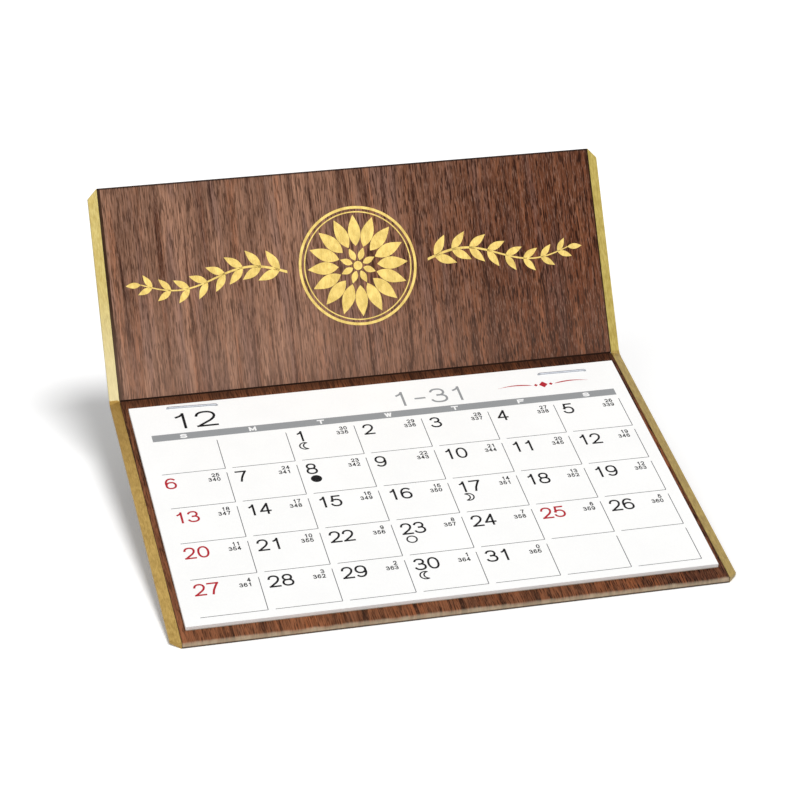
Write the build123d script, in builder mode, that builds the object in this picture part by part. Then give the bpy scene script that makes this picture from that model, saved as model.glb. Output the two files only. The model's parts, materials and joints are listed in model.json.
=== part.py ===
from build123d import *
from math import cos, hypot, radians, sin
import os

os.makedirs("parts", exist_ok=True)

# A folding desk calendar in millimetres, +Z up, standing on z = 0, with its front towards -Y.
# Two covered boards meet at a fold: the base carries the pad of month sheets, and the header
# leans back on a scored easel board, which hooks into the underside of the base.

# Panels
face_width = 188.8
base_depth = 136.8
header_height = 79.0
panel_thickness = 2.35
cover_thickness = 0.3
liner_thickness = 0.2
wrap_radius = 0.6
turn_in = 12.0
side_turn_in = 8.0

# Bevelled side edges
bevel_reach = 3.56
bevel_drop = 1.2
corner_clip = 3.6
bevel_groove = 0.2

# Stance
base_slope = 11.3
fold_angle = 50.4
fold_clearance = 0.2
board_fold_gap = 0.6
lap_gap = 0.2

# Pad of month sheets, set in from the edges of the base's face
pad_side_margin = 2.3
pad_front_margin = 6.0
pad_rear_margin = 7.4
leaf_count = 13
leaf_thickness = 0.1
backing_thickness = 0.3
bound_strip = 5.5
tear_gap = 0.1

# Staples
staple_span = 18.8
wire_width = 0.9
wire_height = 0.5
staple_bend = 0.6
clinch_length = 5.0
hole_clearance = 0.05
left_staple_inset = 22.9
left_staple_setback = 2.5
left_staple_turn = -2.5
right_staple_inset = 21.0
right_staple_setback = 4.4
right_staple_turn = -1.2

# Easel
easel_board = 1.2
easel_relief = 0.2
score_gap = 0.15
plate_width = 80.0
plate_height = 20.0
plate_gap = 1.0
plate_corner = 6.0
foot_width = 100.0
foot_rise = 3.0
brace_width = 60.0
shoulder_width = 44.0
notch_clearance = 0.5
tab_width = 30.0
tab_length = 2.4
tab_chamfer = 0.8
shoulder_clearance = 0.3
slot_from_fold = 14.0
slot_clearance = 0.6
unhook_travel = 4.0

# Sizes that follow
half_face = face_width / 2
half_width = half_face + bevel_reach
bevel_length = hypot(bevel_reach, bevel_drop)
board_top = -cover_thickness
board_bottom = -(panel_thickness - cover_thickness)
back_face = board_bottom - liner_thickness
leg_thickness = easel_board - easel_relief
header_lean = base_slope + fold_angle
pad_thickness = leaf_count * leaf_thickness + backing_thickness

# The fold's axis lies in the middle of the cover. It is placed so that the wrapped front edge
# touches the desk and the whole calendar is centred on the origin from front to back.
slope_cos, slope_sin = cos(radians(base_slope)), sin(radians(base_slope))
lean_cos, lean_sin = cos(radians(header_lean)), sin(radians(header_lean))
rib = panel_thickness - wrap_radius
half_cover = cover_thickness / 2
fold_from_front = base_depth * slope_cos + half_cover * slope_sin
front_reach = wrap_radius * (slope_cos + slope_sin - 1)
rear_reach = (
    fold_from_front
    - half_cover * lean_sin
    + (header_height - wrap_radius) * lean_cos
    + rib * lean_sin
    + wrap_radius
)
fold_y = fold_from_front - (front_reach + rear_reach) / 2
front_z = wrap_radius * (1 - slope_sin) + rib * slope_cos
fold_z = front_z + base_depth * slope_sin - half_cover * slope_cos
fold_axis = Vector(0, fold_y, fold_z)

# Faces of the two panels: local y runs away from the fold and local z out of the face.
base_normal = Vector(0, -slope_sin, slope_cos)
header_normal = Vector(0, -lean_sin, lean_cos)
base_face = Plane(fold_axis + base_normal * half_cover, x_dir=(-1, 0, 0), z_dir=base_normal)
header_face = Plane(fold_axis + header_normal * half_cover, x_dir=(1, 0, 0), z_dir=header_normal)

# Underside of the pad: the same face, with local y towards the fold.
pad_seat = Plane(base_face.origin, x_dir=(1, 0, 0), z_dir=base_normal)
pad_width = face_width - 2 * pad_side_margin
pad_front = pad_front_margin - base_depth
pad_rear = -pad_rear_margin
tear_line = pad_rear - bound_strip


def save(piece, label):
    piece.part.label = label
    export_step(piece.part, f"parts/{label}.step")


def bevel_underside(x):
    # Height of the gold edging's inner face, one cover thickness under the bevel.
    return -(cover_thickness * bevel_length + (x - half_face) * bevel_drop) / bevel_reach


def cross_section(face, start):
    # Plane across a panel at a distance from the fold. Extruding by a negative amount runs away from it.
    return Plane(face.origin + face.y_dir * start, x_dir=face.x_dir, z_dir=-face.y_dir)


def corner_prism(face, length, side):
    # Prism that cuts one bevel off at a slant where it meets the wrapped edge of the panel.
    with BuildPart() as prism:
        with BuildSketch(face):
            with BuildLine():
                Polyline(
                    (side * half_face, length),
                    (side * (half_width + bevel_reach), length),
                    (side * (half_width + bevel_reach), length - 2 * corner_clip),
                    close=True,
                )
            make_face()
        extrude(amount=-panel_thickness)
    return prism


def make_board(label, face, length, cuts):
    # Core board, set in from the outside by the thickness of its cover.
    board_side = half_width - cover_thickness
    right = [
        (half_face, board_top),
        (half_face, bevel_underside(half_face)),
        (board_side, bevel_underside(board_side)),
        (board_side, board_bottom),
    ]
    left = [(-x, z) for x, z in reversed(right)]
    corners = [corner_prism(face, length - cover_thickness, side) for side in (-1, 1)]
    with BuildPart() as board:
        with BuildSketch(cross_section(face, board_fold_gap)):
            with BuildLine():
                Polyline(*right, *left, close=True)
            make_face()
        extrude(amount=-(length - cover_thickness - board_fold_gap))
        for cut in [*corners, *cuts]:
            add(cut.part, mode=Mode.SUBTRACT)
    save(board, label)
    return board


def make_cover(label, face, length, start, rolled_fold, cuts):
    # Wood-grain vinyl: over the face, round the far edge and turned in behind it.
    with BuildPart() as cover:
        with BuildSketch(Plane(face.origin, x_dir=face.y_dir, z_dir=face.x_dir)) as side:
            with BuildLine():
                Polyline(
                    (start, 0),
                    (length, 0),
                    (length, -panel_thickness),
                    (length - turn_in, -panel_thickness),
                    (length - turn_in, board_bottom),
                    (length - cover_thickness, board_bottom),
                    (length - cover_thickness, board_top),
                    (start, board_top),
                    close=True,
                )
            make_face()
            fillet(side.vertices().sort_by(Axis.X)[-2:], wrap_radius)
            if rolled_fold:
                with Locations((start, -half_cover)):
                    Circle(half_cover)
        extrude(amount=half_face - bevel_groove, both=True)
        for cut in cuts:
            add(cut.part, mode=Mode.SUBTRACT)
    save(cover, label)


def make_edge(label, face, length, side, board):
    # Gold edging: bevel, outer wall and turn-in, folded round the core board.
    profile = [
        (side * half_face, 0),
        (side * half_width, -bevel_drop),
        (side * half_width, -panel_thickness),
        (side * half_face, -panel_thickness),
    ]
    flap_side = half_width - side_turn_in
    flap_length = length - turn_in - lap_gap - fold_clearance
    corner = corner_prism(face, length, side)
    with BuildPart() as edge:
        with BuildSketch(cross_section(face, fold_clearance)):
            with BuildLine():
                Polyline(*profile, close=True)
            make_face()
        extrude(amount=-(length - fold_clearance))
        add(corner.part, mode=Mode.SUBTRACT)
        with BuildSketch(cross_section(face, fold_clearance)):
            with Locations((side * (flap_side + half_face) / 2, (board_bottom - panel_thickness) / 2)):
                Rectangle(half_face - flap_side, cover_thickness)
        extrude(amount=-flap_length)
        add(board.part, mode=Mode.SUBTRACT)
    save(edge, label)


def make_liner(label, face, length, cuts):
    # Paper that closes the back of the panel between the turned-in edges.
    near = board_fold_gap + lap_gap
    far = length - turn_in - lap_gap
    with BuildPart() as liner:
        with BuildSketch(face.offset(board_bottom)):
            with Locations((0, (near + far) / 2)):
                Rectangle(2 * (half_width - side_turn_in - lap_gap), far - near)
        extrude(amount=-liner_thickness)
        for cut in cuts:
            add(cut.part, mode=Mode.SUBTRACT)
    save(liner, label)


# Staples: two bent wires through the pad and the base, clinched inwards under it
leg_spread = staple_span / 2 - wire_height / 2
left_staple_x = left_staple_inset - pad_width / 2
right_staple_x = pad_width / 2 - right_staple_inset
staple_places = [
    Location((left_staple_x, pad_rear - left_staple_setback, pad_thickness), (0, 0, left_staple_turn)),
    Location((right_staple_x, pad_rear - right_staple_setback, pad_thickness), (0, 0, right_staple_turn)),
]
crown_level = wire_height / 2
clinch_level = back_face - pad_thickness - wire_height / 2
clinch_end = leg_spread - clinch_length

with BuildPart() as pad_staples:
    for place in staple_places:
        upright = Plane(pad_seat.location * place * Location((0, 0, 0), (90, 0, 0)))
        with BuildLine(upright) as wire_path:
            FilletPolyline(
                (-clinch_end, clinch_level),
                (-leg_spread, clinch_level),
                (-leg_spread, crown_level),
                (leg_spread, crown_level),
                (leg_spread, clinch_level),
                (clinch_end, clinch_level),
                radius=staple_bend,
            )
        with BuildSketch(Plane(wire_path.line @ 0, x_dir=upright.z_dir, z_dir=wire_path.line % 0)):
            Rectangle(wire_width, wire_height)
        sweep(path=wire_path.line)
save(pad_staples, "pad_staples")

# Room for the staple legs and their bends in every sheet that they pass through
hole_length = staple_bend + wire_height / 2 + 2 * hole_clearance
hole_centre = leg_spread + wire_height / 2 + hole_clearance - hole_length / 2

with BuildPart() as staple_holes:
    for place in staple_places:
        with BuildSketch(Plane(pad_seat.location * place)):
            with Locations((-hole_centre, 0), (hole_centre, 0)):
                Rectangle(hole_length, wire_width + 2 * hole_clearance)
        extrude(amount=-(pad_thickness + panel_thickness))

# Easel: plate glued to the header's back, leg folded out to the desk, brace folded forward
hinge_height = header_height - turn_in - plate_gap - plate_height
leg_hinge = header_face.from_local_coords(Vector(0, hinge_height, back_face - easel_board))
brace_hinge = Vector(0, leg_hinge.Y - leg_thickness, foot_rise)
slot_point = base_face.from_local_coords(Vector(0, slot_from_fold, back_face))
brace_run = slot_point - brace_hinge
brace_line = brace_run.normalized()
brace_plane = Plane(brace_hinge, x_dir=(1, 0, 0), z_dir=Vector(1, 0, 0).cross(brace_line))

with BuildPart() as easel_plate:
    with BuildSketch(header_face.offset(back_face)) as plate_outline:
        with Locations((0, hinge_height + plate_height / 2)):
            Rectangle(plate_width, plate_height)
        fillet(plate_outline.vertices().group_by(Axis.Y)[-1], plate_corner)
    extrude(amount=-easel_board)
save(easel_plate, "easel_plate")

with BuildPart() as easel_leg:
    with BuildSketch(Plane((0, leg_hinge.Y, 0), x_dir=(1, 0, 0), z_dir=(0, -1, 0))):
        with BuildLine():
            Polyline(
                (-foot_width / 2, 0),
                (foot_width / 2, 0),
                (plate_width / 2, leg_hinge.Z - score_gap),
                (-plate_width / 2, leg_hinge.Z - score_gap),
                close=True,
            )
        make_face()
        with Locations((0, (foot_rise + score_gap) / 2)):
            Rectangle(brace_width + 2 * notch_clearance, foot_rise + score_gap, mode=Mode.SUBTRACT)
    extrude(amount=leg_thickness)
save(easel_leg, "easel_leg")

shoulder_line = brace_run.length - shoulder_clearance
tab_tip = brace_run.length + tab_length

with BuildPart() as easel_brace:
    with BuildSketch(brace_plane) as brace_outline:
        with BuildLine():
            Polyline(
                (-brace_width / 2, score_gap),
                (brace_width / 2, score_gap),
                (shoulder_width / 2, shoulder_line),
                (tab_width / 2, shoulder_line),
                (tab_width / 2, tab_tip),
                (-tab_width / 2, tab_tip),
                (-tab_width / 2, shoulder_line),
                (-shoulder_width / 2, shoulder_line),
                close=True,
            )
        make_face()
        chamfer(brace_outline.vertices().group_by(Axis.Y)[-1], tab_chamfer)
    extrude(amount=leg_thickness)
save(easel_brace, "easel_brace")

# Slot in the underside of the base that the brace's tab hooks into
tab_reach = tab_length * brace_line.dot(base_face.y_dir)
tab_depth = leg_thickness / brace_line.dot(base_normal)
slot_length = slot_clearance + tab_reach + tab_depth + unhook_travel

with BuildPart() as tab_slot:
    with BuildSketch(base_face.offset(board_top)):
        with Locations((0, slot_from_fold - slot_clearance + slot_length / 2)):
            Rectangle(tab_width + 2 * slot_clearance, slot_length)
    extrude(amount=back_face - board_top)

# Base and header panels
base_board = make_board("base_board", base_face, base_depth, [staple_holes, tab_slot])
make_cover("base_cover", base_face, base_depth, 0, True, [staple_holes])
make_edge("base_left_edge", base_face, base_depth, 1, base_board)
make_edge("base_right_edge", base_face, base_depth, -1, base_board)
make_liner("base_liner", base_face, base_depth, [staple_holes, tab_slot])

header_board = make_board("header_board", header_face, header_height, [])
make_cover("header_cover", header_face, header_height, fold_clearance, False, [])
make_edge("header_left_edge", header_face, header_height, -1, header_board)
make_edge("header_right_edge", header_face, header_height, 1, header_board)
make_liner("header_liner", header_face, header_height, [])


def make_sheet(label, front, rear, bottom, thickness):
    # One flat sheet of the pad, from its front edge to its rear edge.
    with BuildPart() as sheet:
        with BuildSketch(pad_seat.offset(bottom)):
            with Locations((0, (front + rear) / 2)):
                Rectangle(pad_width, rear - front)
        extrude(amount=thickness)
        add(staple_holes.part, mode=Mode.SUBTRACT)
    save(sheet, label)


# Pad: backing card, twelve sheets that lie still, and the top sheet torn free at its bound strip
make_sheet("pad_backing", pad_front, pad_rear, 0, backing_thickness)
for number in range(2, leaf_count + 1):
    leaf_bottom = backing_thickness + (leaf_count - number) * leaf_thickness
    make_sheet(f"leaf_{number:02d}", pad_front, pad_rear, leaf_bottom, leaf_thickness)
top_leaf_bottom = pad_thickness - leaf_thickness
make_sheet("leaf_01", pad_front, tear_line, top_leaf_bottom, leaf_thickness)
make_sheet("leaf_01_stub", tear_line + tear_gap, pad_rear, top_leaf_bottom, leaf_thickness)
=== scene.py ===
import json
import math

import bmesh
import bpy
from mathutils import Matrix, Vector

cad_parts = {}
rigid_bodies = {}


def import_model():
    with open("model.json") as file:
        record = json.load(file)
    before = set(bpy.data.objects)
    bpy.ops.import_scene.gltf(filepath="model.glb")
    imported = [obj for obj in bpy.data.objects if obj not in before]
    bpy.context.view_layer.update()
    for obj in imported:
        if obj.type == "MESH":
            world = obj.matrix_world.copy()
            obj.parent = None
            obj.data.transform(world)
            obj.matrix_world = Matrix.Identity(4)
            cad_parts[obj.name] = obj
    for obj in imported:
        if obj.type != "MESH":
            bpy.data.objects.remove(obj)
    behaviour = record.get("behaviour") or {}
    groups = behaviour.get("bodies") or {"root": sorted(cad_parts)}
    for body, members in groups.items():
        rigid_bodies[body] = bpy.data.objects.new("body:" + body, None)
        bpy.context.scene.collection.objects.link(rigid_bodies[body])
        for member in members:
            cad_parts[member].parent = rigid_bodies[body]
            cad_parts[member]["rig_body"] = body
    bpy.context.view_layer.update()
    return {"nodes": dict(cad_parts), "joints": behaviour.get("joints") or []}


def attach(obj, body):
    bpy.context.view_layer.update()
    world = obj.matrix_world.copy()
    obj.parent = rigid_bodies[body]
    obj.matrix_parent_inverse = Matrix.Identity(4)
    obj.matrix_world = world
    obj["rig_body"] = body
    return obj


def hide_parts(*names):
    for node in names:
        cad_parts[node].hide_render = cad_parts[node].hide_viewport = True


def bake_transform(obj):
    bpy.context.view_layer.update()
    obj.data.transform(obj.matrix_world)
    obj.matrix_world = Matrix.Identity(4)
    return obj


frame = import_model()
nodes = frame["nodes"]
joints = {joint["name"]: joint for joint in frame["joints"]}

# The two panels, in millimetres and degrees, as in the part's source. A place on a panel is
# x across it, y up it from its lower edge, and z out of its face.
BASE_SLOPE = 11.3
HEADER_LEAN = 61.7
BASE_DEPTH = 136.8
HEADER_HEIGHT = 79.0
FACE_WIDTH = 188.8
HALF_COVER = 0.15
BEVEL_REACH = 3.56
BEVEL_DROP = 1.2
EDGE_FOOT = 2.2

# The pad on the base panel
PAD_WIDTH = 184.2
PAD_FRONT = 6.0
PAD_REAR = 129.4
PAD_TOP = 1.6
LEAF = 0.1
TEAR_LINE = 123.9
BEND = 5.0
BEND_STEP = 0.5
BENDS = [TEAR_LINE - BEND + BEND_STEP * i for i in range(int(BEND / BEND_STEP) + 1)]
STAPLES = [(-69.2, 126.9, -2.5), (71.1, 125.0, -1.2)]  # x, y and turn
LEG_REACH = 8.975
HOLE_HALF_WIDTH, HOLE_HALF_DEPTH = 0.55, 0.57

# Print on the month sheets, in millimetres
COLUMNS = 7
COLUMN = 25.2
GRID_LEFT = -89.1
GRID_TOP = 107.75
GRID_BOTTOM = 9.8
LINE_INSET = 2.5
WEEK_BAR_TOP = 111.6
WEEKDAY_FOOT = 108.45
TITLE_FOOT = 114.1
MONTH_LEFT = -78.6
RANGE_LEFT = 4.0
FLOURISH_PLACE = (62.0, 118.6)
INK = 0.02
INK_ROOT = 0.01
FOIL = 0.03
YEAR_DAYS = 365

# A day's cell: half the width of its lines, where the upright one starts above the foot and ends
# below the top, then how far in and down the marks stand, counted from HEAD_DROP below the top
ROW_LINE_HALF, COLUMN_LINE_HALF = 0.12, 0.13
COLUMN_LINE_START, COLUMN_LINE_END = 0.09, 2.4
HEAD_DROP = 3.0
DATE_IN, DATE_DOWN = 2.7, 5.6
COUNT_IN, COUNT_DOWN, COUNT_PITCH = 2.8, 1.2, 2.45
MOON_IN, MOON_DOWN = 5.3, 8.4

# Type: height in mm, then stroke weight, figure width and gap as shares of the height
DAY_TYPE = (6.2, 0.122, 0.66, 0.09)
SMALL_TYPE = (2.05, 0.17, 0.62, 0.12)
WEEKDAY_TYPE = (2.4, 0.26, 1.1, 0.1)
MONTH_TYPE = (9.4, 0.105, 0.84, 0.14)
RANGE_TYPE = (8.8, 0.1, 0.72, 0.1)

TOP_MONTH = {
    "month": 12, "first_column": 2, "days": 31, "passed": 334, "red_days": (25,),
    "moons": {1: "opening right", 8: "disc", 17: "opening left", 23: "ring", 30: "opening right"},
}
NEXT_MONTH = {
    "month": 1, "first_column": 5, "days": 31, "passed": 0, "red_days": (1,),
    "moons": {7: "disc", 15: "opening left", 22: "ring", 29: "opening right"},
}

# Noises in the wood print: features a metre along each axis, detail, roughness, distortion, shift
WOOD_NOISES = {
    "bands": ((105, 7, 12), 2.5, 0.6, 0.3),
    "streaks": ((380, 13, 30), 3.0, 0.62, 0.2, (3, 1, 0)),
    "glow": ((240, 14, 30), 2.0, 0.6, 0.3, (9, 4, 2)),
    "cool": ((190, 20, 30), 2.0, 0.6, 0.3, (2, 7, 6)),
    "fibres": ((2300, 80, 200), 3.0, 0.7, 0.0, (0, 5, 2)),
    "pores": ((2700, 210, 300), 1.5, 0.5, 0.1, (7, 0, 4)),
    "flecks": ((3100, 420, 300), 1.5, 0.55, 0.0, (4, 2, 6)),
    "drift": ((16, 8, 8), 1.0, 0.5, 0.0, (1, 8, 0)),
}
# Header and base are one vinyl. Their tints differ partly as painted light: the header's are paler
# and greyer, a painted sheen. On each panel the left tint is paler than the right, partly the
# print's own drift and partly a painted sheen.
HEADER_WOOD = {
    "left": (154, 114, 92), "right": (96, 52, 31), "dark": (58, 30, 20),
    "warm": (146, 94, 66), "cold": (124, 96, 88), "fleck": (152, 117, 100),
}
BASE_WOOD = {
    "left": (136, 85, 57), "right": (84, 48, 32), "dark": (44, 24, 16),
    "warm": (146, 84, 50), "cold": (96, 66, 50), "fleck": (130, 88, 62),
}

# Floor and world: as the lamps meet them, then as the camera sees them
FLOOR_LIT, FLOOR_SEEN = 0.88, 1.17
WORLD_LIT, WORLD_SEEN = 0.325, 1.0
FLOOR_HALF = 6

# The camera, as fitted to the photograph: metres, degrees and millimetres
CAMERA_PLACE = (-0.20085, -0.82148, 0.42891)
CAMERA_TURN = (65.3271, 0.005, -13.7281)
LENS, SENSOR = 117.59, 36


def linear(red, green, blue):
    """A colour written as 0 to 255 on screen, as the shader takes it."""
    return tuple(
        c / 255 / 12.92 if c <= 10 else ((c / 255 + 0.055) / 1.055) ** 2.4
        for c in (red, green, blue)
    )


def darker(colour, share):
    return tuple(c * share for c in colour)


def panel_matrix(degrees, start):
    """From a place on a panel in mm, its y counted from start, to the row frame in metres."""
    angle = math.radians(degrees)
    along = Vector((0, math.cos(angle), math.sin(angle)))
    out = Vector((0, -math.sin(angle), math.cos(angle)))
    origin = Vector(joints["header_fold"]["pos_m"]) + (out * HALF_COVER - along * start) * 0.001
    turn = Matrix((Vector((1, 0, 0)), along, out)).transposed().to_4x4()
    return Matrix.Translation(origin) @ turn @ Matrix.Scale(0.001, 4)


def in_panel_space(matrix, degrees, y):
    """Where a place on a panel's face lies in the coordinates of panel_space."""
    return Matrix.Rotation(-math.radians(degrees), 3, "X") @ (matrix @ Vector((0, y, 0)))


BASE = panel_matrix(BASE_SLOPE, BASE_DEPTH)
HEADER = panel_matrix(HEADER_LEAN, 0)
SPACE_BASE_REAR = in_panel_space(BASE, BASE_SLOPE, BASE_DEPTH).y
SPACE_BASE_FRONT, SPACE_BASE_FACE = in_panel_space(BASE, BASE_SLOPE, 0).yz
SPACE_HEADER_FOOT = in_panel_space(HEADER, HEADER_LEAN, 0).y
SPACE_HEADER_TOP = in_panel_space(HEADER, HEADER_LEAN, HEADER_HEIGHT).y


# Shader nodes
def new_material(name):
    material = bpy.data.materials.new(name)
    material.use_nodes = True
    tree = material.node_tree
    tree.nodes.clear()
    output = tree.nodes.new("ShaderNodeOutputMaterial")
    shader = tree.nodes.new("ShaderNodeBsdfPrincipled")
    tree.links.new(shader.outputs["BSDF"], output.inputs["Surface"])
    return material, tree, shader


def put(tree, socket, value):
    """Links or sets an input."""
    if isinstance(value, bpy.types.NodeSocket):
        tree.links.new(value, socket)
    else:
        socket.default_value = value


def add(tree, kind, inputs):
    made = tree.nodes.new(kind)
    for name, value in inputs.items():
        put(tree, made.inputs[name], value)
    return made


def math_node(tree, operation, a, b=0.0):
    made = tree.nodes.new("ShaderNodeMath")
    made.operation = operation
    put(tree, made.inputs[0], a)
    put(tree, made.inputs[1], b)
    return made.outputs[0]


def remap(tree, value, low, high, to_low=0.0, to_high=1.0):
    """A smooth step between two values."""
    made = add(tree, "ShaderNodeMapRange", {
        "Value": value, "From Min": low, "From Max": high, "To Min": to_low, "To Max": to_high,
    })
    made.interpolation_type = "SMOOTHSTEP"
    return made.outputs["Result"]


def mix(tree, factor, a, b, blend="MIX"):
    made = tree.nodes.new("ShaderNodeMix")
    made.data_type = "RGBA"
    made.blend_type = blend
    put(tree, made.inputs[0], factor)
    for socket, value in ((made.inputs[6], a), (made.inputs[7], b)):
        put(tree, socket, value if isinstance(value, bpy.types.NodeSocket) else (*value, 1))
    return made.outputs[2]


def laid_over(tree, colour, value, low, high, share, tint):
    """The colour with a tint over it that comes in as the value goes from low to high."""
    return mix(tree, remap(tree, value, low, high, 0, share), colour, tint)


def object_space(tree):
    return tree.nodes.new("ShaderNodeTexCoord").outputs["Object"]


def panel_space(tree, degrees):
    """Object coordinates turned so that y runs up the panel and z out of its face."""
    turn = {"Vector": object_space(tree), "Rotation": (-math.radians(degrees), 0, 0)}
    return add(tree, "ShaderNodeMapping", turn).outputs["Vector"]


def separated(tree, vector):
    return add(tree, "ShaderNodeSeparateXYZ", {"Vector": vector}).outputs


def stretched_noise(tree, space, scale, detail, roughness, distortion=0.0, shift=(0, 0, 0)):
    """Noise with its own number of features a metre along each axis."""
    stretch = {"Vector": space, "Scale": scale, "Location": shift}
    moved = add(tree, "ShaderNodeMapping", stretch).outputs["Vector"]
    made = add(tree, "ShaderNodeTexNoise", {
        "Vector": moved, "Scale": 1.0, "Detail": detail, "Roughness": roughness,
        "Distortion": distortion,
    })
    return made.outputs["Fac"]


def bump(tree, shader, height, distance, strength):
    relief = {"Height": height, "Distance": distance, "Strength": strength}
    tree.links.new(add(tree, "ShaderNodeBump", relief).outputs["Normal"], shader.inputs["Normal"])


# Materials, with places and distances in metres
def header_ends(tree, colour, place, layers):
    """Paler towards the fold, most of all on the left, a painted sheen; and a dark line along the
    top, painted shade.
    """
    fold, top = SPACE_HEADER_FOOT, SPACE_HEADER_TOP
    # Painted sheen: paler towards the fold, more so on the left.
    painted_sheen = math_node(
        tree, "MULTIPLY",
        remap(tree, place["Y"], fold + 0.045, fold + 0.004, 0, 0.14),
        remap(tree, layers["across"], 0, 1, 1, 0.5),
    )
    colour = mix(tree, painted_sheen, colour, linear(196, 160, 140))
    # Painted shade: a dark line along the rounded top edge.
    painted_top_shade = linear(30, 19, 15)
    return laid_over(tree, colour, place["Y"], top - 0.0009, top - 0.0005, 0.85, painted_top_shade)


def base_ends(tree, colour, place, layers):
    """A lip along the front, pale where the vinyl turns down, partly wear and partly a painted
    highlight, with painted shade at its foot; and painted shade by the fold.
    """
    face, front, rear = SPACE_BASE_FACE, SPACE_BASE_FRONT, SPACE_BASE_REAR
    # The pale lip along the front: partly wear, partly a painted highlight where the edge catches
    # the light.
    over = math_node(
        tree, "SUBTRACT", front + face, math_node(tree, "ADD", place["Y"], place["Z"]),
    )
    ragged = math_node(tree, "MULTIPLY", math_node(tree, "SUBTRACT", layers["cool"], 0.5), 0.0016)
    wear_and_highlight = remap(tree, math_node(tree, "ADD", over, ragged), -0.0009, 0.0011, 0, 0.92)
    wear_and_highlight = math_node(tree, "MULTIPLY", wear_and_highlight, remap(tree, layers["streaks"], 0.3, 0.6, 1.0, 0.7))
    # The pale colour is the lip's highlight and wear; the foot colour is painted shade at the
    # bottom of the lip.
    pale, foot = linear(200, 180, 153), linear(76, 69, 55)
    lip = laid_over(tree, pale, place["Z"], face - 0.0013, face - 0.0018, 1.0, foot)
    colour = mix(tree, wear_and_highlight, colour, lip)
    # Painted shade: darker towards the fold.
    shade = darker(linear(*BASE_WOOD["right"]), 0.3)
    return laid_over(tree, colour, place["Y"], rear - 0.009, rear - 0.001, 0.65, shade)


def wood_material(name, degrees, tints, side_line, ends):
    """Walnut-print vinyl: broad figure, fibres, pale flecks and short dark pores, running up.

    A dark line of painted shade runs up each side, as far inside the face as side_line says.
    Ends adds painted light and shade at the panel's lower and upper end, and wear on the base's
    lip.
    """
    material, tree, shader = new_material(name)
    space = panel_space(tree, degrees)
    place = separated(tree, space)
    layers = {name: stretched_noise(tree, space, *values) for name, values in WOOD_NOISES.items()}
    tint = {name: linear(*colour) for name, colour in tints.items()}

    # Partly a painted sheen: the colour drifts from the paler left tint to the darker right one,
    # and the grey cold tint is strongest on the left.
    shift = math_node(tree, "MULTIPLY", math_node(tree, "SUBTRACT", layers["drift"], 0.5), 0.8)
    across = math_node(tree, "ADD", remap(tree, place["X"], -0.045, 0.095), shift)
    layers["across"] = across
    colour = mix(tree, across, tint["left"], tint["right"])
    cool = math_node(
        tree, "MULTIPLY",
        remap(tree, layers["cool"], 0.5, 0.68), remap(tree, across, 0, 1, 0.55, 0.3),
    )
    colour = mix(tree, cool, colour, tint["cold"])
    colour = laid_over(tree, colour, layers["glow"], 0.48, 0.68, 0.55, tint["warm"])
    colour = laid_over(tree, colour, layers["bands"], 0.48, 0.7, 0.4, tint["dark"])
    colour = laid_over(tree, colour, layers["streaks"], 0.52, 0.68, 0.85, tint["dark"])
    tone = remap(tree, layers["fibres"], 0.25, 0.75, 0.5, 1.5)
    grey = add(tree, "ShaderNodeCombineXYZ", {"X": tone, "Y": tone, "Z": tone}).outputs[0]
    colour = mix(tree, 1.0, colour, grey, "MULTIPLY")
    colour = laid_over(tree, colour, layers["flecks"], 0.52, 0.66, 0.45, tint["fleck"])
    deep = math_node(
        tree, "MULTIPLY",
        remap(tree, layers["pores"], 0.52, 0.62), remap(tree, across, 0, 1, 0.6, 0.95),
    )
    colour = mix(tree, deep, colour, darker(tint["dark"], 0.5))

    # Painted shade: a dark line up each side, as of a groove along the gold.
    side, middle, fade = FACE_WIDTH / 2000 - side_line, 0.0003, 0.0003
    out = math_node(tree, "ABSOLUTE", math_node(tree, "SUBTRACT", place["X"], middle))
    colour = laid_over(tree, colour, out, side - fade, side, 0.9, linear(42, 26, 14))
    colour = ends(tree, colour, place, layers)

    tree.links.new(colour, shader.inputs["Base Color"])
    roughness = remap(tree, layers["pores"], 0.45, 0.7, 0.45, 0.6)
    tree.links.new(roughness, shader.inputs["Roughness"])
    height = math_node(
        tree, "SUBTRACT",
        math_node(tree, "MULTIPLY", layers["fibres"], 0.35),
        remap(tree, layers["pores"], 0.53, 0.68),
    )
    bump(tree, shader, height, 0.00003, 0.7)
    shader.inputs["Specular IOR Level"].default_value = 0.05
    return material


def gold_material(name, degrees, colour, shade, roughness, metal=0.85, fold=None):
    """Gold foil with a fine brushed grain along the edge and soft mottling.

    A fold gives where it lies, how far a tint of painted light reaches from it, and the tint.
    """
    material, tree, shader = new_material(name)
    space = panel_space(tree, degrees)
    brushed = stretched_noise(tree, space, (2600, 400, 2600), 2.0, 0.6)
    mottled = stretched_noise(tree, space, (420, 260, 420), 3.0, 0.7, 0.3)
    fine = stretched_noise(tree, space, (900, 900, 900), 2.0, 0.6)
    tone = math_node(
        tree, "ADD",
        math_node(tree, "MULTIPLY", brushed, 0.6), math_node(tree, "MULTIPLY", mottled, 0.4),
    )
    tinted = mix(tree, remap(tree, tone, 0.3, 0.7), linear(*shade), linear(*colour))
    # Painted light near the fold: a paler tint for a reflection, a darker one for shade.
    if fold:
        near, reach, tint = fold
        level = separated(tree, space)["Y"]
        tinted = laid_over(tree, tinted, level, near + reach, near, 0.5, linear(*tint))
    tree.links.new(tinted, shader.inputs["Base Color"])
    dulled = remap(tree, mottled, 0.3, 0.7, roughness - 0.06, roughness + 0.1)
    tree.links.new(dulled, shader.inputs["Roughness"])
    shader.inputs["Metallic"].default_value = metal
    height = math_node(tree, "ADD", brushed, math_node(tree, "MULTIPLY", fine, 0.6))
    bump(tree, shader, height, 0.00003, 0.7)
    return material


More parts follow.
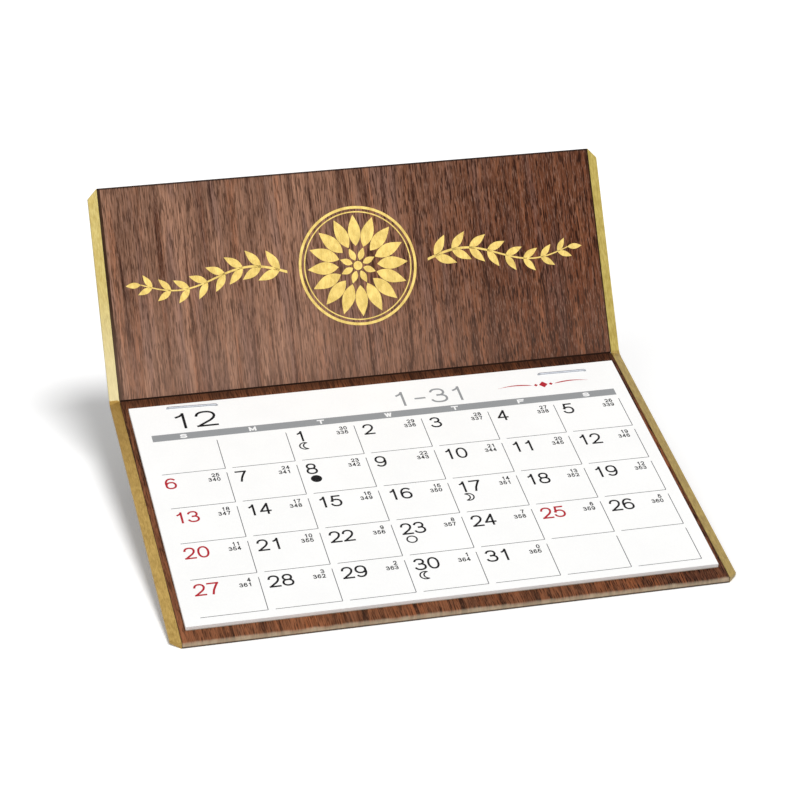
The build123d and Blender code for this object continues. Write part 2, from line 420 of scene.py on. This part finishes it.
def paper_material():
    """Uncoated stock: faint cloudiness and fibres, and a painted highlight that makes its cut edges
    whiter.
    """
    material, tree, shader = new_material("paper_white")
    space = object_space(tree)
    cloud = stretched_noise(tree, space, (60, 60, 60), 2.0, 0.5)
    fibres = stretched_noise(tree, space, (1700, 900, 1700), 3.0, 0.65, 0.6)
    tone = math_node(
        tree, "ADD",
        math_node(tree, "MULTIPLY", cloud, 0.5), math_node(tree, "MULTIPLY", fibres, 0.5),
    )
    white = linear(252, 252, 251)
    tinted = mix(tree, remap(tree, tone, 0.35, 0.65), darker(white, 0.97), white)
    # Painted highlight: the cut edges, which face sideways, are whiter than the face.
    normal = tree.nodes.new("ShaderNodeNewGeometry").outputs["True Normal"]
    facing = separated(tree, normal)["Z"]
    tinted = laid_over(tree, tinted, facing, 0.75, 0.35, 1.0, linear(255, 254, 253))
    tree.links.new(tinted, shader.inputs["Base Color"])
    tree.links.new(remap(tree, fibres, 0.3, 0.7, 0.8, 0.9), shader.inputs["Roughness"])
    bump(tree, shader, fibres, 0.00002, 0.6)
    shader.inputs["Specular IOR Level"].default_value = 0.25
    return material


def card_material(name, colour, speck, roughness, sheen=0.35):
    """Board or liner paper: soft fibres with lighter specks."""
    material, tree, shader = new_material(name)
    space = object_space(tree)
    fibres = stretched_noise(tree, space, (1300, 500, 700), 4.0, 0.7, 1.2)
    cloud = stretched_noise(tree, space, (45, 45, 45), 3.0, 0.55)
    specks = stretched_noise(tree, space, (2600, 2600, 2600), 1.0, 0.5)
    tinted = linear(*colour)
    for value, low, high, share in (
        (cloud, 0.3, 0.7, 0.5), (fibres, 0.5, 0.75, 0.5), (specks, 0.66, 0.74, 0.6),
    ):
        tinted = laid_over(tree, tinted, value, low, high, share, linear(*speck))
    tree.links.new(tinted, shader.inputs["Base Color"])
    dulled = remap(tree, cloud, 0.3, 0.7, roughness - 0.08, roughness + 0.08)
    tree.links.new(dulled, shader.inputs["Roughness"])
    bump(tree, shader, fibres, 0.00004, 0.7)
    shader.inputs["Specular IOR Level"].default_value = sheen
    return material


def ink_material(name, colour):
    """Printing ink with a faint unevenness."""
    material, tree, shader = new_material(name)
    uneven = stretched_noise(tree, object_space(tree), (1500, 1500, 1500), 2.0, 0.6)
    full = linear(*colour)
    thin = tuple(c + (1 - c) * 0.02 for c in full)
    tinted = mix(tree, remap(tree, uneven, 0.35, 0.7), full, thin)
    tree.links.new(tinted, shader.inputs["Base Color"])
    shader.inputs["Roughness"].default_value = 0.8
    shader.inputs["Specular IOR Level"].default_value = 0.1
    return material


def wire_material():
    """Galvanised wire, drawn along its length."""
    material, tree, shader = new_material("wire_zinc")
    drawn = stretched_noise(tree, object_space(tree), (2200, 2600, 2600), 2.0, 0.6)
    tinted = mix(tree, remap(tree, drawn, 0.3, 0.7), linear(172, 176, 184), linear(194, 198, 205))
    tree.links.new(tinted, shader.inputs["Base Color"])
    tree.links.new(remap(tree, drawn, 0.3, 0.7, 0.42, 0.56), shader.inputs["Roughness"])
    shader.inputs["Metallic"].default_value = 0.85
    bump(tree, shader, drawn, 0.00001, 0.5)
    return material


header_wood = wood_material("walnut_header", HEADER_LEAN, HEADER_WOOD, 0.0007, header_ends)
base_wood = wood_material("walnut_base", BASE_SLOPE, BASE_WOOD, -0.0004, base_ends)
# The four edge golds are one foil, coloured apart side by side to paint the light each side gets.
# The fold tints paint a paler reflection on the header's left gold and shade on the base's left
# gold.
header_left_gold = gold_material(
    "gold_header_left", HEADER_LEAN, (186, 170, 108), (154, 134, 74), 0.4,
    fold=(SPACE_HEADER_FOOT, 0.05, (210, 200, 165)),
)
header_right_gold = gold_material(
    "gold_header_right", HEADER_LEAN, (204, 185, 106), (168, 145, 70), 0.36,
)
base_left_gold = gold_material(
    "gold_base_left", BASE_SLOPE, (200, 168, 96), (158, 126, 62), 0.4,
    fold=(SPACE_BASE_REAR, -0.07, (122, 86, 26)),
)
base_right_gold = gold_material("gold_base_right", BASE_SLOPE, (182, 158, 91), (144, 118, 60), 0.4)
foil = gold_material("gold_foil", HEADER_LEAN, (236, 209, 126), (222, 190, 104), 0.3, metal=0.9)
paper = paper_material()
# The core board is kept dark so the slits where it shows read as shade: partly its own colour,
# partly painted shade.
board = card_material("board_grey", (84, 68, 52), (106, 90, 72), 0.85, sheen=0.1)
liner = card_material("liner_black", (42, 40, 40), (66, 63, 62), 0.7)
easel = card_material("easel_black", (46, 44, 44), (78, 74, 71), 0.65)
backing = card_material("backing_grey", (176, 168, 152), (200, 192, 178), 0.85)
# Painted shade: a dark vinyl strip for the shade in the inside corner of the fold.
crease_shade = card_material("crease_shade_vinyl", (30, 17, 11), (52, 32, 22), 0.7, sheen=0.03)
wire = wire_material()
INKS = {
    "black": ink_material("ink_black", (10, 10, 13)),
    "red": ink_material("ink_red", (180, 32, 46)),
    "grey": ink_material("ink_grey", (150, 152, 154)),
    "line": ink_material("ink_line", (80, 81, 84)),
    "white": ink_material("ink_white", (246, 246, 246)),
}


# Meshes in panel millimetres
def finish_mesh(bm, name, matrix, material):
    """A new piece from a bmesh, moved into the row frame."""
    bmesh.ops.recalc_face_normals(bm, faces=bm.faces)
    mesh = bpy.data.meshes.new(name)
    bm.to_mesh(mesh)
    bm.free()
    mesh.transform(matrix)
    obj = bpy.data.objects.new(name, mesh)
    bpy.context.scene.collection.objects.link(obj)
    mesh.materials.append(material)
    return obj


def prism(bm, points, low, high):
    """A thin closed plate over a flat outline."""
    bottom = [bm.verts.new((x, y, low)) for x, y in points]
    top = [bm.verts.new((x, y, high)) for x, y in points]
    bm.faces.new(bottom[::-1])
    bm.faces.new(top)
    for i in range(len(points)):
        j = (i + 1) % len(points)
        bm.faces.new((bottom[i], bottom[j], top[j], top[i]))


def bar(bm, x0, y0, x1, y1, low, high):
    prism(bm, [(x0, y0), (x1, y0), (x1, y1), (x0, y1)], low, high)


def diamond(bm, x, y, half_width, half_height, low, high):
    corners = ((half_width, 0), (0, half_height), (-half_width, 0), (0, -half_height))
    prism(bm, [(x + dx, y + dy) for dx, dy in corners], low, high)


def ribbon(bm, left, right, low, high, closed=False):
    """A thin closed plate between two lines of as many points, joined into a ring if closed."""
    count = len(left)
    lines = ((left, high), (right, high), (right, low), (left, low))
    rings = [[bm.verts.new((x, y, z)) for x, y in line] for line, z in lines]
    for a, b in zip(rings, rings[1:] + rings[:1]):
        for i in range(count if closed else count - 1):
            j = (i + 1) % count
            bm.faces.new((a[i], a[j], b[j], b[i]))
    if not closed:
        for i in (0, -1):
            bm.faces.new([ring[i] for ring in rings])


def stroke(bm, points, width, low, high, closed):
    """A line of even width through the points, its open ends square and half a width long."""
    points = [Vector(p) for p in points]
    if not closed:
        points[0] += (points[0] - points[1]).normalized() * width / 2
        points[-1] += (points[-1] - points[-2]).normalized() * width / 2
    left, right = [], []
    for i, p in enumerate(points):
        before = points[i - 1] if closed or i else p
        after = points[(i + 1) % len(points)] if closed or i + 1 < len(points) else p
        along = ((p - before).normalized() + (after - p).normalized()).normalized()
        side = Vector((-along.y, along.x)) * width / 2
        left.append(tuple(p + side))
        right.append(tuple(p - side))
    ribbon(bm, left, right, low, high, closed)


def circle(x, y, radius, count):
    angles = [2 * math.pi * i / count for i in range(count)]
    return [(x + radius * math.cos(angle), y + radius * math.sin(angle)) for angle in angles]


def arc(x, y, radius, start, sweep):
    steps = 16
    angles = [math.radians(start) + math.radians(sweep) * i / steps for i in range(steps + 1)]
    return [(x + radius * math.cos(angle), y + radius * math.sin(angle)) for angle in angles]


def oval(x, y, wide, tall, start, end, steps=16):
    """Points on an oval a little squarer than an ellipse, from one angle to the other."""
    points = []
    for i in range(steps + 1):
        angle = math.radians(start + (end - start) * i / steps)
        c, s = math.cos(angle), math.sin(angle)
        across, up = math.copysign(abs(c) ** 0.9, c), math.copysign(abs(s) ** 0.9, s)
        points.append((x + wide * across, y + tall * up))
    return points


def loop(x, y, wide, tall):
    return oval(x, y, wide, tall, 0, 360, 24)[:-1]


def turned(lines):
    """Lines in the unit square, turned upside down."""
    return [[(1 - x, 1 - y) for x, y in line] for line in lines]


# Centre lines of plain figures and weekday initials in a unit square: open lines, closed ones
TWO = oval(0.49, 0.71, 0.47, 0.29, 172, -8) + [(0.88, 0.52), (0.7, 0.37), (0.4, 0.21), (0.06, 0.02)]
SIX = [oval(0.54, 0.5, 0.54, 0.5, 50, 192)]
SIX_BOWL = [loop(0.5, 0.31, 0.49, 0.31)]
ESS = oval(0.5, 0.75, 0.46, 0.25, 25, 270) + oval(0.5, 0.25, 0.5, 0.25, 90, -155)[1:]
SHAPES = {
    "0": ([], [loop(0.5, 0.5, 0.5, 0.5)]),
    "1": ([[(0.66, 0), (0.66, 1)], [(0.6, 0.93), (0.5, 0.85), (0.3, 0.78)]], []),
    "2": ([TWO, [(0, 0), (1, 0)]], []),
    "3": ([oval(0.46, 0.76, 0.44, 0.24, 162, -92), oval(0.48, 0.27, 0.52, 0.27, 92, -162)], []),
    "4": ([[(0.74, 0), (0.74, 1)], [(0.72, 0.98), (0.02, 0.3)], [(0, 0.27), (1, 0.27)]], []),
    "5": (
        [[(0.92, 1), (0.2, 1)], [(0.2, 1), (0.1, 0.5)], oval(0.47, 0.325, 0.52, 0.325, 145, -160)],
        [],
    ),
    "6": (SIX, SIX_BOWL),
    "7": ([[(0, 1), (1, 1)], [(0.98, 0.98), (0.72, 0.66), (0.5, 0.34), (0.38, 0)]], []),
    "8": ([], [loop(0.5, 0.76, 0.42, 0.24), loop(0.5, 0.265, 0.5, 0.265)]),
    "9": (turned(SIX), turned(SIX_BOWL)),
    "-": ([[(0.2, 0.42), (0.8, 0.42)]], []),
    "S": ([ESS], []),
    "M": ([[(0, 0), (0, 1)], [(0, 1), (0.5, 0.15)], [(0.5, 0.15), (1, 1)], [(1, 1), (1, 0)]], []),
    "T": ([[(0, 1), (1, 1)], [(0.5, 1), (0.5, 0)]], []),
    "W": (
        [[(0, 1), (0.25, 0)], [(0.25, 0), (0.5, 1)], [(0.5, 1), (0.75, 0)], [(0.75, 0), (1, 1)]],
        [],
    ),
    "F": ([[(0, 0), (0, 1)], [(0, 1), (1, 1)], [(0, 0.52), (0.85, 0.52)]], []),
}
STROKE_STEP = 0.002  # later strokes of a character stand higher, so that no two faces coincide


def write(bm, text, x, y, style, low, high, anchor="left"):
    """A line of figures whose foot is at y and whose left, middle or right is at x."""
    height, weight, width, gap = style
    pen = weight * height
    cell = width * height
    step = cell + gap * height
    total = len(text) * step - gap * height
    x -= {"left": 0, "middle": total / 2, "right": total}[anchor]
    for number, character in enumerate(text):
        left = x + number * step + pen / 2
        open_lines, closed_lines = SHAPES[character]
        strokes = [(line, False) for line in open_lines] + [(line, True) for line in closed_lines]
        for layer, (line, closed) in enumerate(strokes):
            placed = [(left + u * (cell - pen), y + pen / 2 + v * (height - pen)) for u, v in line]
            stroke(bm, placed, pen, low, high + STROKE_STEP * layer, closed)


def moon(bm, x, y, kind, low, high):
    """The usual marks for the moon's quarters: a disc, a ring or an open crescent."""
    radius = 2.0
    if kind == "disc":
        prism(bm, circle(x, y, radius, 32), low, high)
    elif kind == "ring":
        line = 0.56
        stroke(bm, circle(x, y, radius - line / 2, 32), line, low, high, True)
    else:
        side = 1 if kind == "opening right" else -1
        outline = arc(0, 0, 1.95, 62, 236) + arc(1.15, 0, 1.73, 97, 166)[::-1]
        stroke(bm, [(x + side * px, y + py) for px, py in outline], 0.52, low, high, True)


def flourish(bm, x, y, low, high):
    """A small divider: a diamond between two tapering lines, each with a small diamond."""
    steps, start, reach, sway, half_line = 10, 4.2, 13.5, 0.9, 0.32
    for side in (-1, 1):
        flanks = []
        for flank in (1, -1):
            line = []
            for i in range(steps + 1):
                swell = flank * half_line * math.sin(math.pi * (i / steps) ** 0.6)
                rise = sway * math.sin(math.pi * i / steps)
                line.append((x + side * (start + reach * i / steps), y + swell + rise))
            flanks.append(line)
        ribbon(bm, *flanks, low, high)
        diamond(bm, x + side * 2.9, y, 0.8, 0.8, low, high)
    diamond(bm, x, y, 1.7, 1.9, low, high)


def day_marks(inks, day, day_of_year, number_ink, moon_kind, left, right, head, low, high):
    """A date with the days left and gone in the year beside it, and a moon below it if due."""
    date_place = (left + DATE_IN, head - DATE_DOWN)
    write(inks[number_ink], str(day), *date_place, DAY_TYPE, low, high)
    for line, number in enumerate((YEAR_DAYS - day_of_year, day_of_year)):
        count_place = (right - COUNT_IN, head - COUNT_DOWN - COUNT_PITCH * line)
        write(inks["black"], str(number), *count_place, SMALL_TYPE, low, high, "right")
    if moon_kind:
        moon(inks["black"], left + MOON_IN, head - MOON_DOWN, moon_kind, low, high)


def month_sheet(prefix, top, month, first_column, days, passed, red_days, moons, cuts=()):
    """The print of one month sheet, a piece for each ink.

    If cuts are given, it is divided there into strips.
    """
    low, high = top - INK_ROOT, top + INK
    inks = {name: bmesh.new() for name in INKS}
    rows = -(-(first_column + days) // COLUMNS)
    row_height = (GRID_TOP - GRID_BOTTOM) / rows
    for cell in range(rows * COLUMNS):
        row, column = divmod(cell, COLUMNS)
        left = GRID_LEFT + column * COLUMN
        right = left + COLUMN
        foot = GRID_TOP - (row + 1) * row_height
        for line in (
            (left + LINE_INSET, foot - ROW_LINE_HALF, right, foot + ROW_LINE_HALF),
            (
                right - COLUMN_LINE_HALF, foot + COLUMN_LINE_START,
                right + COLUMN_LINE_HALF, foot + row_height - COLUMN_LINE_END,
            ),
        ):
            bar(inks["line"], *line, low, high)
        day = cell - first_column + 1
        if 1 <= day <= days:
            ink = "red" if column == 0 or day in red_days else "black"
            head = foot + row_height - HEAD_DROP
            day_marks(
                inks, day, passed + day, ink, moons.get(day), left, right, head, low, high,
            )

    grid_right = GRID_LEFT + COLUMNS * COLUMN
    bar(inks["grey"], GRID_LEFT + LINE_INSET, GRID_TOP, grid_right, WEEK_BAR_TOP, low, high)
    for column, initial in enumerate("SMTWTFS"):
        centre = GRID_LEFT + (column + 0.55) * COLUMN
        on_bar = (high - 0.005, high + 0.01)
        write(inks["white"], initial, centre, WEEKDAY_FOOT, WEEKDAY_TYPE, *on_bar, "middle")
    write(inks["black"], str(month), MONTH_LEFT, TITLE_FOOT, MONTH_TYPE, low, high)
    write(inks["grey"], f"1-{days}", RANGE_LEFT, TITLE_FOOT, RANGE_TYPE, low, high)
    flourish(inks["red"], *FLOURISH_PLACE, low, high)

    for bm in inks.values():
        for y in cuts:
            whole = bm.verts[:] + bm.edges[:] + bm.faces[:]
            bmesh.ops.bisect_plane(bm, geom=whole, plane_co=(0, y, 0), plane_no=(0, 1, 0))
    return [finish_mesh(bm, f"{prefix}_{name}", BASE, INKS[name]) for name, bm in inks.items()]


def staple_holes():
    """The places where the staple legs go through the top sheet: two corners each."""
    holes = []
    for x, y, turn in STAPLES:
        for side in (-LEG_REACH, LEG_REACH):
            leg_x = x + side * math.cos(math.radians(turn))
            leg_y = y + side * math.sin(math.radians(turn))
            holes.append((
                leg_x - HOLE_HALF_WIDTH, leg_y - HOLE_HALF_DEPTH,
                leg_x + HOLE_HALF_WIDTH, leg_y + HOLE_HALF_DEPTH,
            ))
    return holes


def top_sheet(holes):
    """The top month sheet as one piece of paper, its bound strip included.

    Its faces are a grid, with rows close together in the band just below the tear line.
    """
    ups = [PAD_FRONT, 30, 60, 90, 112, *BENDS, PAD_REAR]
    acrosses = [-PAD_WIDTH / 2, PAD_WIDTH / 2, *range(-60, 61, 15)]
    for x0, y0, x1, y1 in holes:
        acrosses += [x0, x1]
        ups += [y0, y1]
    ups, acrosses = sorted(set(ups)), sorted(set(acrosses))

    def is_paper(i, j):
        if not (0 <= i < len(ups) - 1 and 0 <= j < len(acrosses) - 1):
            return False
        x = (acrosses[j] + acrosses[j + 1]) / 2
        y = (ups[i] + ups[i + 1]) / 2
        return not any(x0 < x < x1 and y0 < y < y1 for x0, y0, x1, y1 in holes)

    bm = bmesh.new()
    top = [[bm.verts.new((x, y, PAD_TOP)) for x in acrosses] for y in ups]
    bottom = [[bm.verts.new((x, y, PAD_TOP - LEAF)) for x in acrosses] for y in ups]
    for i in range(len(ups) - 1):
        for j in range(len(acrosses) - 1):
            if not is_paper(i, j):
                continue
            corners = [(i, j), (i, j + 1), (i + 1, j + 1), (i + 1, j)]
            bm.faces.new([top[a][b] for a, b in corners])
            bm.faces.new([bottom[a][b] for a, b in corners[::-1]])
            beside = [(i - 1, j), (i, j + 1), (i + 1, j), (i, j - 1)]
            for cell, (a, b), (c, d) in zip(beside, corners, corners[1:] + corners[:1]):
                if not is_paper(*cell):
                    bm.faces.new((top[a][b], bottom[a][b], bottom[c][d], top[c][d]))
    unused = [vert for vert in bm.verts if not vert.link_faces]
    bmesh.ops.delete(bm, geom=unused, context="VERTS")
    return finish_mesh(bm, "month_sheet_top", BASE, paper)


def petal(bm, x, y, angle, length, width, low, high):
    """A leaf shape that starts at a place and points along an angle."""
    steps = 10
    side = []
    for i in range(steps + 1):
        side.append((length * i / steps, width / 2 * math.sin(math.pi * (i / steps) ** 0.85)))
    outline = side[1:] + [(px, -py) for px, py in side[-2:0:-1]] + [side[0]]
    turn = Matrix.Rotation(angle, 2)
    placed = [turn @ Vector(p) for p in outline]
    prism(bm, [(x + p.x, y + p.y) for p in placed], low, high)


def ornament():
    """A gold-foil rosette with a leafy spray on each side."""
    bm = bmesh.new()
    low, high = -INK_ROOT, FOIL
    level = 42.0
    stroke(bm, circle(0, level, 22.0, 96), 1.0, low, high, True)
    stroke(bm, circle(0, level, 20.3, 96), 0.45, low, high, True)
    for count, turn, radius, length, width in ((16, 0, 7.4, 11.8, 4.7), (8, 0.5, 2.1, 5.0, 2.4)):
        for i in range(count):
            angle = 2 * math.pi * (i + turn) / count
            x, y = radius * math.cos(angle), level + radius * math.sin(angle)
            petal(bm, x, y, angle, length, width, low, high)
    prism(bm, circle(0, level, 1.7, 24), low, high)

    start, reach, sway, steps = 27, 55.0, 3.2, 40
    for side in (-1, 1):
        line = []
        for i in range(steps + 1):
            wave = sway * math.sin(2 * math.pi * i / steps)
            line.append((side * (start + reach * i / steps), level + wave))
        upper = [(x, y + 0.5 - 0.3 * i / steps) for i, (x, y) in enumerate(line)]
        lower = [(x, y - 0.5 + 0.3 * i / steps) for i, (x, y) in enumerate(line)]
        ribbon(bm, upper, lower, low, high)
        for i in range(8):
            at = 2 + 5 * i
            slope = math.atan(sway * 2 * math.pi / reach * math.cos(2 * math.pi * at / steps))
            size = 9.0 - 0.45 * i
            for flank in (-1, 1):
                angle = slope + flank * math.radians(40)
                facing = math.pi - angle if side < 0 else angle
                petal(bm, *line[at], facing, size, size * 0.37, low, high)
        petal(bm, *line[-1], math.pi if side < 0 else 0, 5.6, 2.2, low, high)
    return finish_mesh(bm, "header_ornament", HEADER, foil)


def softened(node, width):
    """A copy of a CAD node with its edges rounded off by a width in mm."""
    source = nodes[node]
    mesh = source.data.copy()
    obj = bpy.data.objects.new(node + "_finished", mesh)
    bpy.context.scene.collection.objects.link(obj)
    bm = bmesh.new()
    bm.from_mesh(mesh)
    flat, sharp = math.radians(1), math.radians(25)
    bmesh.ops.remove_doubles(bm, verts=bm.verts, dist=0.000002)
    bmesh.ops.dissolve_limit(bm, angle_limit=flat, verts=bm.verts, edges=bm.edges)
    edges = [e for e in bm.edges if len(e.link_faces) == 2 and e.calc_face_angle() > sharp]
    bmesh.ops.bevel(
        bm, geom=edges, offset=width * 0.001, segments=2, profile=0.5, affect="EDGES",
        clamp_overlap=True,
    )
    bm.to_mesh(mesh)
    bm.free()
    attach(obj, source["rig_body"])
    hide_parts(node)
    return obj


def fold_strip(name, profile, back, up, material):
    """Vinyl that bridges the fold, bent across it.

    The profile runs across the panels, as x and z. The strip reaches back onto the base and up
    the header, and bends within 0.25 mm of the fold.
    """
    thickness, proud = 0.12, 0.02
    stations = [
        (BASE, BASE_DEPTH - back), (BASE, BASE_DEPTH - 0.25), (HEADER, 0.25), (HEADER, up),
    ]
    count = len(profile)
    turn = -1 if profile[-1][0] > profile[0][0] else 1
    outward = []
    for i in range(count):
        ahead = Vector(profile[min(i + 1, count - 1)]) - Vector(profile[max(i - 1, 0)])
        outward.append(Vector((ahead.y, -ahead.x)).normalized() * turn)

    bm = bmesh.new()
    sides = []
    for depth in (proud, proud - thickness):
        rows = []
        for matrix, y in stations:
            rows.append([
                matrix @ Vector((x + n.x * depth, y, z + n.y * depth))
                for (x, z), n in zip(profile, outward)
            ])
        rows.insert(2, [(a + b) / 2 for a, b in zip(rows[1], rows[2])])
        sides.append([[bm.verts.new(p) for p in row] for row in rows])
    tops, bottoms = sides
    for i in range(len(tops) - 1):
        a, b, c, d = tops[i], tops[i + 1], bottoms[i], bottoms[i + 1]
        for j in range(count - 1):
            bm.faces.new((a[j], a[j + 1], b[j + 1], b[j]))
            bm.faces.new((c[j], d[j], d[j + 1], c[j + 1]))
        for j in (0, count - 1):
            bm.faces.new((a[j], b[j], d[j], c[j]))
    for i in (0, -1):
        for j in range(count - 1):
            bm.faces.new((tops[i][j], bottoms[i][j], bottoms[i][j + 1], tops[i][j + 1]))
    strip = finish_mesh(bm, name, Matrix.Identity(4), material)
    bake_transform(strip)
    return strip


def wear(obj, material):
    obj.data.materials.clear()
    obj.data.materials.append(material)


# CAD pieces. The month sheets aren't listed: they wear paper
CAD_MATERIALS = {
    "base_board": board,
    "header_board": board,
    "base_cover": base_wood,
    "header_cover": header_wood,
    "base_left_edge": base_left_gold,
    "base_right_edge": base_right_gold,
    "header_left_edge": header_left_gold,
    "header_right_edge": header_right_gold,
    "base_liner": liner,
    "header_liner": liner,
    "easel_plate": easel,
    "easel_leg": easel,
    "easel_brace": easel,
    "pad_backing": backing,
    "pad_staples": wire,
}
for name, obj in nodes.items():
    wear(obj, CAD_MATERIALS.get(name, paper))

# CAD pieces with softened edges: the width of the rounding in mm, and the slot
SOFTENED = {
    "base_left_edge": (0.12, "gold"),
    "base_right_edge": (0.12, "gold"),
    "header_left_edge": (0.12, "gold"),
    "header_right_edge": (0.12, "gold"),
    "pad_staples": (0.2, "wire"),
}
for name, (width, slot) in SOFTENED.items():
    obj = softened(name, width)
    wear(obj, CAD_MATERIALS[name])

# The month sheet on top, with its bound edge, and the print on the one below
sheet = top_sheet(staple_holes())
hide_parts("leaf_01", "leaf_01_stub")
top_print = month_sheet("top_print", PAD_TOP, **TOP_MONTH, cuts=BENDS)
for piece in [sheet, *top_print]:
    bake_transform(piece)
next_print = month_sheet("next_print", PAD_TOP - LEAF, **NEXT_MONTH)
for piece in next_print:
    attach(piece, "base")

# Gold and vinyl across the fold, the vinyl a dark strip of painted shade in the inside corner of
# the fold, ending 0.25 mm inside each side
half = FACE_WIDTH / 2
for side, name, gold in ((-1, "left", base_left_gold), (1, "right", base_right_gold)):
    outside = side * (half + BEVEL_REACH)
    middle = side * (half + BEVEL_REACH / 2)
    edge = [
        (side * (half - 0.1), 0.0), (middle, -BEVEL_DROP / 2), (outside, -BEVEL_DROP),
        (outside, -EDGE_FOOT),
    ]
    fold_strip(f"fold_gold_{name}", edge, 1.5, 0.6, gold)
across = [(-half + 0.25 + (FACE_WIDTH - 0.5) * i / 20, 0.0) for i in range(21)]
fold_strip("fold_crease", across, 0.45, 0.45, crease_shade)

foil_piece = ornament()
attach(foil_piece, "header")

# Floor
floor_material, tree, shader = new_material("floor_white")
camera_ray = tree.nodes.new("ShaderNodeLightPath").outputs["Is Camera Ray"]
floor_colour = mix(tree, camera_ray, (FLOOR_LIT,) * 3, (FLOOR_SEEN,) * 3)
tree.links.new(floor_colour, shader.inputs["Base Color"])
shader.inputs["Roughness"].default_value = 1.0
shader.inputs["Specular IOR Level"].default_value = 0.0
bm = bmesh.new()
bmesh.ops.create_grid(bm, x_segments=8, y_segments=8, size=FLOOR_HALF)
floor_mesh = bpy.data.meshes.new("floor")
bm.to_mesh(floor_mesh)
bm.free()
floor_mesh.materials.append(floor_material)
floor = bpy.data.objects.new("floor", floor_mesh)
bpy.context.scene.collection.objects.link(floor)

# World and lamps
world = bpy.data.worlds.new("studio")
bpy.context.scene.world = world
world.use_nodes = True
tree = world.node_tree
background = tree.nodes["Background"]
ray = tree.nodes.new("ShaderNodeLightPath").outputs
mirrored = math_node(tree, "MAXIMUM", ray["Is Glossy Ray"], ray["Is Transmission Ray"])
seen = math_node(tree, "MAXIMUM", ray["Is Camera Ray"], mirrored)
strength = remap(tree, seen, 0, 1, WORLD_LIT, WORLD_SEEN)
tree.links.new(strength, background.inputs["Strength"])
background.inputs["Color"].default_value = (1, 1, 1, 1)
for name, energy, angle, direction in (
    ("key", 1.83, 20, (0.17, -0.4, 0.95)), ("fill", 0.65, 40, (-0.62, -0.5, 0.6)),
):
    light = bpy.data.lights.new(name, "SUN")
    light.energy = energy
    light.angle = math.radians(angle)
    lamp = bpy.data.objects.new(name, light)
    bpy.context.scene.collection.objects.link(lamp)
    lamp.rotation_euler = Vector(direction).to_track_quat("Z", "Y").to_euler()

# Camera
camera_data = bpy.data.cameras.new("camera")
camera_data.lens = LENS
camera_data.sensor_width = SENSOR
camera = bpy.data.objects.new("camera", camera_data)
bpy.context.scene.collection.objects.link(camera)
camera.location = CAMERA_PLACE
camera.rotation_euler = [math.radians(turn) for turn in CAMERA_TURN]
bpy.context.scene.camera = camera
bpy.context.scene.view_settings.view_transform = "Standard"
